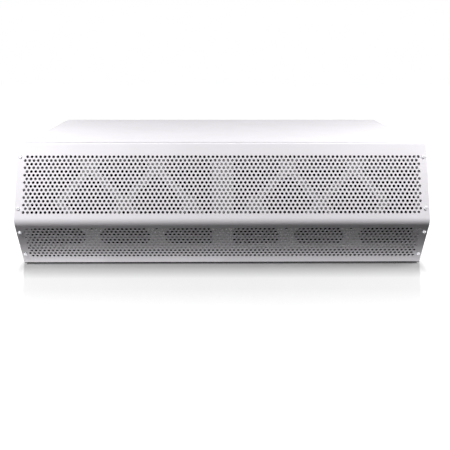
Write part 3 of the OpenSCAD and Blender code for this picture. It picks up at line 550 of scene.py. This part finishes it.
# %% [markdown]
# At the two ends the faces are folded in once more, which gives the cover the soft white edge that catches
# the light in the photograph and hides the raw sheet. The end edge is extruded in short steps, each of
# which moves a vertex along a quarter circle towards the inside of its own part of the sheet.

# %% Folded ends
fold_angles = [math.radians(angle) for angle in (22.5, 45, 67.5, 90)]
fold_stops = [(fold_radius * math.sin(angle), fold_radius * (1 - math.cos(angle))) for angle in fold_angles]
fold_stops.append((fold_radius, return_depth))
top_z = top_centre.z + fold_radius * upper_out.z
bottom_z = bottom_centre.z + fold_radius * lower_out.z


def key(v):
    """A vertex's place in whole hundredths of a millimetre, by which it is found again."""
    return tuple(round(c / MM, 2) for c in v.co)


def out_of(v):
    """The way out of the sheet at a vertex: square to a flat, or away from the centre of the bend."""
    if v.co.z > bend_centre.z + nose_radius * upper_out.z - touching:
        return upper_out
    if v.co.z < bend_centre.z + nose_radius * lower_out.z + touching:
        return lower_out
    away = v.co - bend_centre
    away.x = 0
    return away.normalized()


def far_edges(extruded):
    """The edges at the far end of an extrusion, which join only new vertices."""
    new = set(verts_of(extruded))
    return [g for g in extruded if isinstance(g, bmesh.types.BMEdge) and all(v in new for v in g.verts)]


def fold_end(side):
    """Folds one end of the two faces in. The lips above and below are only carried on to full width."""
    rim = [e for e in cover.edges if e.is_boundary]
    rim = [e for e in rim if all(abs(v.co.x - side * flat_half) < touching for v in e.verts)]
    folding = [e for e in rim if all(bottom_z - touching < v.co.z < top_z + touching for v in e.verts)]
    flat = [e for e in rim if e not in set(folding)]
    wide = bmesh.ops.extrude_edge_only(cover, edges=flat)["geom"]
    bmesh.ops.translate(cover, verts=verts_of(wide), vec=(side * fold_radius, 0, 0))
    ways = {key(v): out_of(v) for e in folding for v in e.verts}
    spread, inset = 0.0, 0.0
    for x, depth in fold_stops:
        extruded = bmesh.ops.extrude_edge_only(cover, edges=folding)["geom"]
        carried = {}
        for v in verts_of(extruded):
            way = ways[key(v)]
            v.co += Vector((side * (x - spread), 0, 0)) - (depth - inset) * way
            carried[key(v)] = way
        for face in (g for g in extruded if isinstance(g, bmesh.types.BMFace)):
            face.smooth = depth < return_depth
        folding = far_edges(extruded)
        ways, spread, inset = carried, x, depth


fold_end(-1)
fold_end(1)
bmesh.ops.recalc_face_normals(cover, faces=cover.faces)
print("cover skin with ends:", len(cover.faces), "faces")

# %% [markdown]
# The skin so far is the outside of the sheet. A Solidify modifier gives it the sheet's thickness inwards,
# walls of the holes included, and the finished piece stands for the CAD cover.

# %% Give the sheet its thickness
def finished_piece(name, bm, body, slot, *replaced):
    """Turns a bmesh into a piece that rides on a body, with the finish of its slot."""
    mesh = bpy.data.meshes.new(name)
    bm.to_mesh(mesh)
    bm.free()
    mesh.materials.append(finishes[slot])
    piece = bpy.data.objects.new(name, mesh)
    bpy.context.scene.collection.objects.link(piece)
    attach(piece, body)
    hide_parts(*replaced)
    return piece


def thicken(piece, thickness, offset):
    """Thickness inwards from the skin at an offset of -1, and to both sides of it at 0."""
    solid = piece.modifiers.new("thickness", "SOLIDIFY")
    solid.thickness, solid.offset, solid.use_even_offset = thickness, offset, True


cover_piece = finished_piece("perforated_cover", cover, "cabinet", "white_paint", "intake_cover")
thicken(cover_piece, sheet, -1)
print("cover:", len(cover_piece.data.polygons), "faces before thickness")

# %% [markdown]
# ## Cover screws
# Eight pan-head screws hold the cover's ends to the cabinet. A head is a turned dome, so its side view is
# spun round once and closed underneath. The cross recess is drawn as a plus-shaped loop inside the rim of
# the dome, the ring between the two is filled, and the plus is pushed down and closed, which needs no
# boolean.

# %% One pan-head screw
head_radius, head_height = 4.1 * MM, 2.6 * MM
head_profile = ((1.0, 0.0), (1.0, 0.35), (0.96, 0.6), (0.86, 0.8), (0.7, 0.93), (0.56, 1.0))
head_sides = 24
arm_length, arm_half_width = 0.46 * head_radius, 0.1 * head_radius
recess_depth, recess_taper = 0.6 * head_height, 0.7


def plus_outline(height):
    """The corners of a plus, three to a quarter turn."""
    corners = [(arm_length, arm_half_width), (arm_half_width, arm_half_width), (arm_half_width, arm_length)]
    turns = [Matrix.Rotation(quarter * math.pi / 2, 3, "Z") for quarter in range(4)]
    return [turn @ Vector((x, y, height)) for turn in turns for x, y in corners]


def screw_head(bm, place):
    """A pan head standing on its place, with a cross recess."""
    earlier = set(bm.verts)
    line = [bm.verts.new((head_radius * r, 0, head_height * h)) for r, h in head_profile]
    edges = [bm.edges.new(pair) for pair in zip(line, line[1:])]
    bmesh.ops.spin(bm, geom=line + edges, cent=(0, 0, 0), axis=(0, 0, 1), angle=2 * math.pi, steps=head_sides,
                   use_merge=True)
    dome = edges_round([v for v in bm.verts if v not in earlier])
    for face in {f for e in dome for f in e.link_faces}:
        face.smooth = True
    foot, top = ([e for e in dome if all(abs(v.co.z - level) < 0.1 * touching for v in e.verts)]
                 for level in (0, head_height))
    bmesh.ops.contextual_create(bm, geom=foot)
    recess = add_loop(bm, plus_outline(head_height))
    bmesh.ops.triangle_fill(bm, use_beauty=True, edges=top + recess, normal=(0, 0, 1))
    walls = bmesh.ops.extrude_edge_only(bm, edges=recess)["geom"]
    sunk = verts_of(walls)
    bmesh.ops.scale(bm, verts=sunk, vec=(recess_taper, recess_taper, 1))
    bmesh.ops.translate(bm, verts=sunk, vec=(0, 0, -recess_depth))
    bmesh.ops.triangle_fill(bm, use_beauty=True, edges=far_edges(walls), normal=(0, 0, 1))
    bmesh.ops.transform(bm, matrix=place, verts=[v for v in bm.verts if v not in earlier])


screws = bmesh.new()
for face_matrix, screw_rows in ((upper_frame, upper_screws), (lower_frame, lower_screws)):
    for y in screw_rows:
        for x in (-screw_x, screw_x):
            turn = Matrix.Rotation(random.uniform(0, math.pi), 4, "Z")
            screw_head(screws, face_matrix @ Matrix.Translation((x, y, 0)) @ turn)
bmesh.ops.recalc_face_normals(screws, faces=screws.faces)
finished_piece("pan_screws", screws, "cabinet", "screw_steel", "cover_screws")
print("eight pan-head screws")

# %% [markdown]
# ## Pleated felt
# Each filter holds one sheet of felt folded to and fro, about an inch from fold to fold. The CAD model has
# it as a sharp zigzag. Here the zigzag's side view is drawn as one line of edges and swept along X, its
# folds are rounded by a bevel, and a Solidify modifier gives the felt its thickness.

# %% Pleated felt
fold_pitch, flat_count, lowest_fold = 26.6 * MM, 17, 30.4 * MM
fold_rounding, felt = 2 * MM, 1.6 * MM


def pleated_felt(name, replaced):
    """Felt in flats that run to and fro between two depths, in place of a CAD node."""
    low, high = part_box(replaced)
    bm = bmesh.new()
    depths = (low.y + felt, high.y - felt)
    heights = [lowest_fold + k * fold_pitch / 2 for k in range(flat_count + 1)]
    line = [bm.verts.new((low.x, depths[k % 2], z)) for k, z in enumerate(heights)]
    zigzag = [bm.edges.new(pair) for pair in zip(line, line[1:])]
    swept = bmesh.ops.extrude_edge_only(bm, edges=zigzag)["geom"]
    bmesh.ops.translate(bm, verts=verts_of(swept), vec=(high.x - low.x, 0, 0))
    folds = [e for e in bm.edges if len(e.link_faces) == 2]
    bmesh.ops.bevel(bm, geom=folds, offset=fold_rounding, offset_type="OFFSET", segments=4, profile=0.5,
                    affect="EDGES", material=-1)
    bmesh.ops.recalc_face_normals(bm, faces=bm.faces)
    for face in bm.faces:
        face.smooth = True
    thicken(finished_piece(name, bm, "cabinet", "filter_media", replaced), felt, 0)
    print(name, "with", len(folds), "folds")


pleated_felt("pleats_left", "filter_media_left")
pleated_felt("pleats_right", "filter_media_right")

# %% [markdown]
# ## Studio
# The photograph shows a white sweep of floor with a short dark shadow round the cabinet and a weak mirror
# image of its lower face. The floor is one flat sheet a hair below the cabinet's foot, and the short shadow
# is painted onto it.

# %% The floor's sheet
floor_half, floor_gap = 6, 0.5 * MM
floor_work = bmesh.new()
bmesh.ops.create_grid(floor_work, x_segments=4, y_segments=4, size=floor_half)
bmesh.ops.translate(floor_work, verts=floor_work.verts, vec=(0, 0, -floor_gap))
floor_mesh = bpy.data.meshes.new("floor")
floor_work.to_mesh(floor_mesh)
floor_work.free()
floor = bpy.data.objects.new("floor", floor_mesh)
bpy.context.scene.collection.objects.link(floor)
print("floor sheet", 2 * floor_half, "metres wide")

# %% [markdown]
# The floor's paper shows two faces. Rays that look at it see a grey that depends on the distance from the
# cabinet's foot, from near black at the foot to white, which is a painted shadow round the foot, and a tenth
# of it is a blurred mirror. The light that the floor throws back at the cabinet is that of a dull grey, so
# that the underside stays as dark as in the photograph. From below the paper is clear, and it casts no
# shadow. The
# first step is the distance itself: how far a point lies outside the foot's rectangle, with steps to the side
# counted five times, which keeps the painted shadow short at the ends.

# %% Distance from the foot
foot_corner = (0.446, 0.206, 0.0)
side_steps = (5.0, 1.0, 0.0)
paper = bpy.data.materials.new("studio_paper")
paper.use_nodes = True
paper.node_tree.nodes.clear()


def vector_step(operation, source, value=(0.0, 0.0, 0.0)):
    """One sum on a vector, with a fixed second vector where the sum needs one."""
    node = add_node(paper, "ShaderNodeVectorMath", operation=operation)
    node.inputs[1].default_value = value
    link(paper, source, node.inputs[0])
    return node


place = add_node(paper, "ShaderNodeTexCoord")
mirrored = vector_step("ABSOLUTE", place.outputs["Object"])
beyond = vector_step("SUBTRACT", mirrored.outputs["Vector"], foot_corner)
outside = vector_step("MAXIMUM", beyond.outputs["Vector"])
stretched = vector_step("MULTIPLY", outside.outputs["Vector"], side_steps)
distance = vector_step("LENGTH", stretched.outputs["Vector"]).outputs["Value"]
print("distance is counted from a foot of", foot_corner[:2])

# %% [markdown]
# Two greys, each set by pairs of a distance and a grey, paint the floor's shadow so that it fades as it does
# in the photograph: the glow is what the paper shows without any lamp, painted near black at the foot and
# white away from it, and the other is the paper's tone under the lamps, also painted darker close to the foot
# as a contact shadow. The lamps add to the glow away from the foot, and the shadows they cast there are real.

# %% The paper's shaders
mirror_share, mirror_blur = 0.11, 0.12
dull_grey = 0.015


def painted_shadow_steps(*steps):
    """A grey that depends on the distance from the foot, used to paint the cabinet's shadow on the floor."""
    node = add_node(paper, "ShaderNodeValToRGB")
    ramp = node.color_ramp
    ramp.elements[0].position, ramp.elements[1].position = steps[0][0], steps[-1][0]
    for reach, grey in steps[1:-1]:
        ramp.elements.new(reach)
    for element, (reach, grey) in zip(ramp.elements, steps):
        element.color = (grey, grey, grey, 1)
    link(paper, distance, node.inputs["Fac"])
    return node.outputs["Color"]


def seen_directly(owner):
    """1 for rays from the camera, in mirror-like reflections and through glass; 0 for the rest."""
    path = add_node(owner, "ShaderNodeLightPath").outputs
    seen_or_mirrored = combine(owner, "MAXIMUM", path["Is Camera Ray"], path["Is Glossy Ray"])
    return combine(owner, "MAXIMUM", seen_or_mirrored, path["Is Transmission Ray"])


def mix_shaders(first, second, share=0.5, factor=None):
    """The first shader with a share of the second, or with a share that a factor sets ray by ray."""
    mix = add_node(paper, "ShaderNodeMixShader", {"Fac": share})
    if factor is not None:
        link(paper, factor, mix.inputs["Fac"])
    link(paper, first.outputs[0], mix.inputs[1])
    link(paper, second.outputs[0], mix.inputs[2])
    return mix


glow = add_node(paper, "ShaderNodeEmission")
# Painted shadow: the glow is near black at the foot and reaches white about half a metre out.
painted_shadow_glow = painted_shadow_steps((0.0, 0.0), (0.033, 0.055), (0.06, 0.235), (0.105, 0.56), (0.17, 0.57),
                        (0.245, 0.68), (0.34, 0.8), (0.46, 1.0))
link(paper, painted_shadow_glow, glow.inputs["Color"])
# Painted contact shadow: the tone the lamps light is darkened within about two centimetres of the foot.
lit_with_painted_shadow = add_node(paper, "ShaderNodeBsdfDiffuse")
link(paper, painted_shadow_steps((0.0, 0.03), (0.008, 0.06), (0.016, 0.36)), lit_with_painted_shadow.inputs["Color"])
bright = add_node(paper, "ShaderNodeAddShader")
link(paper, lit_with_painted_shadow.outputs[0], bright.inputs[0])
link(paper, glow.outputs[0], bright.inputs[1])
mirror = add_node(paper, "ShaderNodeBsdfAnisotropic", {"Color": (1, 1, 1, 1), "Roughness": mirror_blur})
thrown = add_node(paper, "ShaderNodeBsdfDiffuse", {"Color": (dull_grey, dull_grey, dull_grey, 1)})
clear = add_node(paper, "ShaderNodeBsdfTransparent")
print("paper: %.0f %% mirror, throws back %.1f %%" % (100 * mirror_share, 100 * dull_grey))

# %% [markdown]
# The shaders are mixed by where a ray comes from: rays that look at the paper meet the glow and the mirror,
# rays that carry its light to the cabinet meet the dull grey, and rays from below or towards a lamp pass
# through.

# %% Which ray meets which shader
shown = mix_shaders(bright, mirror, mirror_share)
surface = mix_shaders(thrown, shown, factor=seen_directly(paper))
underside = add_node(paper, "ShaderNodeNewGeometry").outputs["Backfacing"]
shadow_ray = add_node(paper, "ShaderNodeLightPath").outputs["Is Shadow Ray"]
passes = combine(paper, "MAXIMUM", underside, shadow_ray)
output = add_node(paper, "ShaderNodeOutputMaterial")
link(paper, mix_shaders(surface, clear, factor=passes).outputs[0], output.inputs["Surface"])
floor.data.materials.append(paper)
print("floor ready")

# %% [markdown]
# The light is what a catalogue studio uses: two soft boxes high in front, the left a touch stronger, two
# lower ones behind for the back of the top panel, and two at the ends. One more, far below, lights the
# underside in views from there.

# %% Lamps
def soft_box(name, place, aim, width, power, depth=None):
    """A rectangular lamp aimed at a point and hidden from the camera. Without a depth it is square."""
    lamp = bpy.data.lights.new(name, "AREA")
    lamp.energy = power
    lamp.shape = "RECTANGLE"
    lamp.size, lamp.size_y = width, depth or width
    holder = bpy.data.objects.new(name, lamp)
    bpy.context.scene.collection.objects.link(holder)
    holder.location = place
    holder.rotation_euler = (Vector(aim) - Vector(place)).to_track_quat("-Z", "Y").to_euler()
    holder.visible_camera = False


key_size, back_size, end_size, under_size = 0.46, 0.9, 0.7, 1.0
soft_box("key_left", (-0.86, -0.82, 1.1), (-0.75, -0.23, 0.18), key_size, power=16.8)
soft_box("key_right", (0.86, -0.57, 1.07), (0.5, -0.23, 0.18), key_size, power=12.9)
soft_box("back_left", (-1.2, 1.5, 0.8), (-0.2, 0.2, 0.15), back_size, power=5.4)
soft_box("back_right", (1.2, 1.5, 0.8), (0.2, 0.2, 0.15), back_size, power=4.8)
soft_box("end_left", (-1.9, 0.1, 0.7), (-0.45, 0, 0.14), end_size, power=4.8)
soft_box("end_right", (1.9, 0.1, 0.7), (0.45, 0, 0.14), end_size, power=4.2)
soft_box("under_fill", (0, 1.3, -1.7), (0, 0, 0), under_size, power=14)
print("key, back, end and lower lamps ready")

# %% [markdown]
# In the photograph the lower face is dark under the nose and brightens towards the floor, as it does when a
# white table top sends light back up. Four short lamps side by side along the foot play the table's part,
# each with its own power, because the photograph's left is brighter than its right.

# %% Lamps along the foot
table_y, table_z = -0.229, 0.001
table_width, table_depth = 0.27, 0.05
table_powers = (0.039, 0.034, 0.03, 0.031)
for k, power in enumerate(table_powers):
    x = (k - (len(table_powers) - 1) / 2) * table_width
    soft_box("table_glow", (x, table_y, table_z), (x, table_y, 1.0), table_width, power, table_depth)
print("lamps along the foot:", len(table_powers))

# %% [markdown]
# The sky is white to the eye of the camera and of any reflection, so that the photograph's white background
# needs no backdrop, but it lights the scene only weakly.

# %% Sky
sky_light, sky_seen = 0.05, 1.0
world = bpy.data.worlds.new("studio_sky")
world.use_nodes = True
bpy.context.scene.world = world
background = world.node_tree.nodes["Background"]
background.inputs["Color"].default_value = (1, 1, 1, 1)
sky_strength = remap(world, seen_directly(world), (0.0, 1.0), (sky_light, sky_seen))
link(world, sky_strength, background.inputs["Strength"])
bpy.context.scene.view_settings.view_transform = "Standard"
print("studio ready")
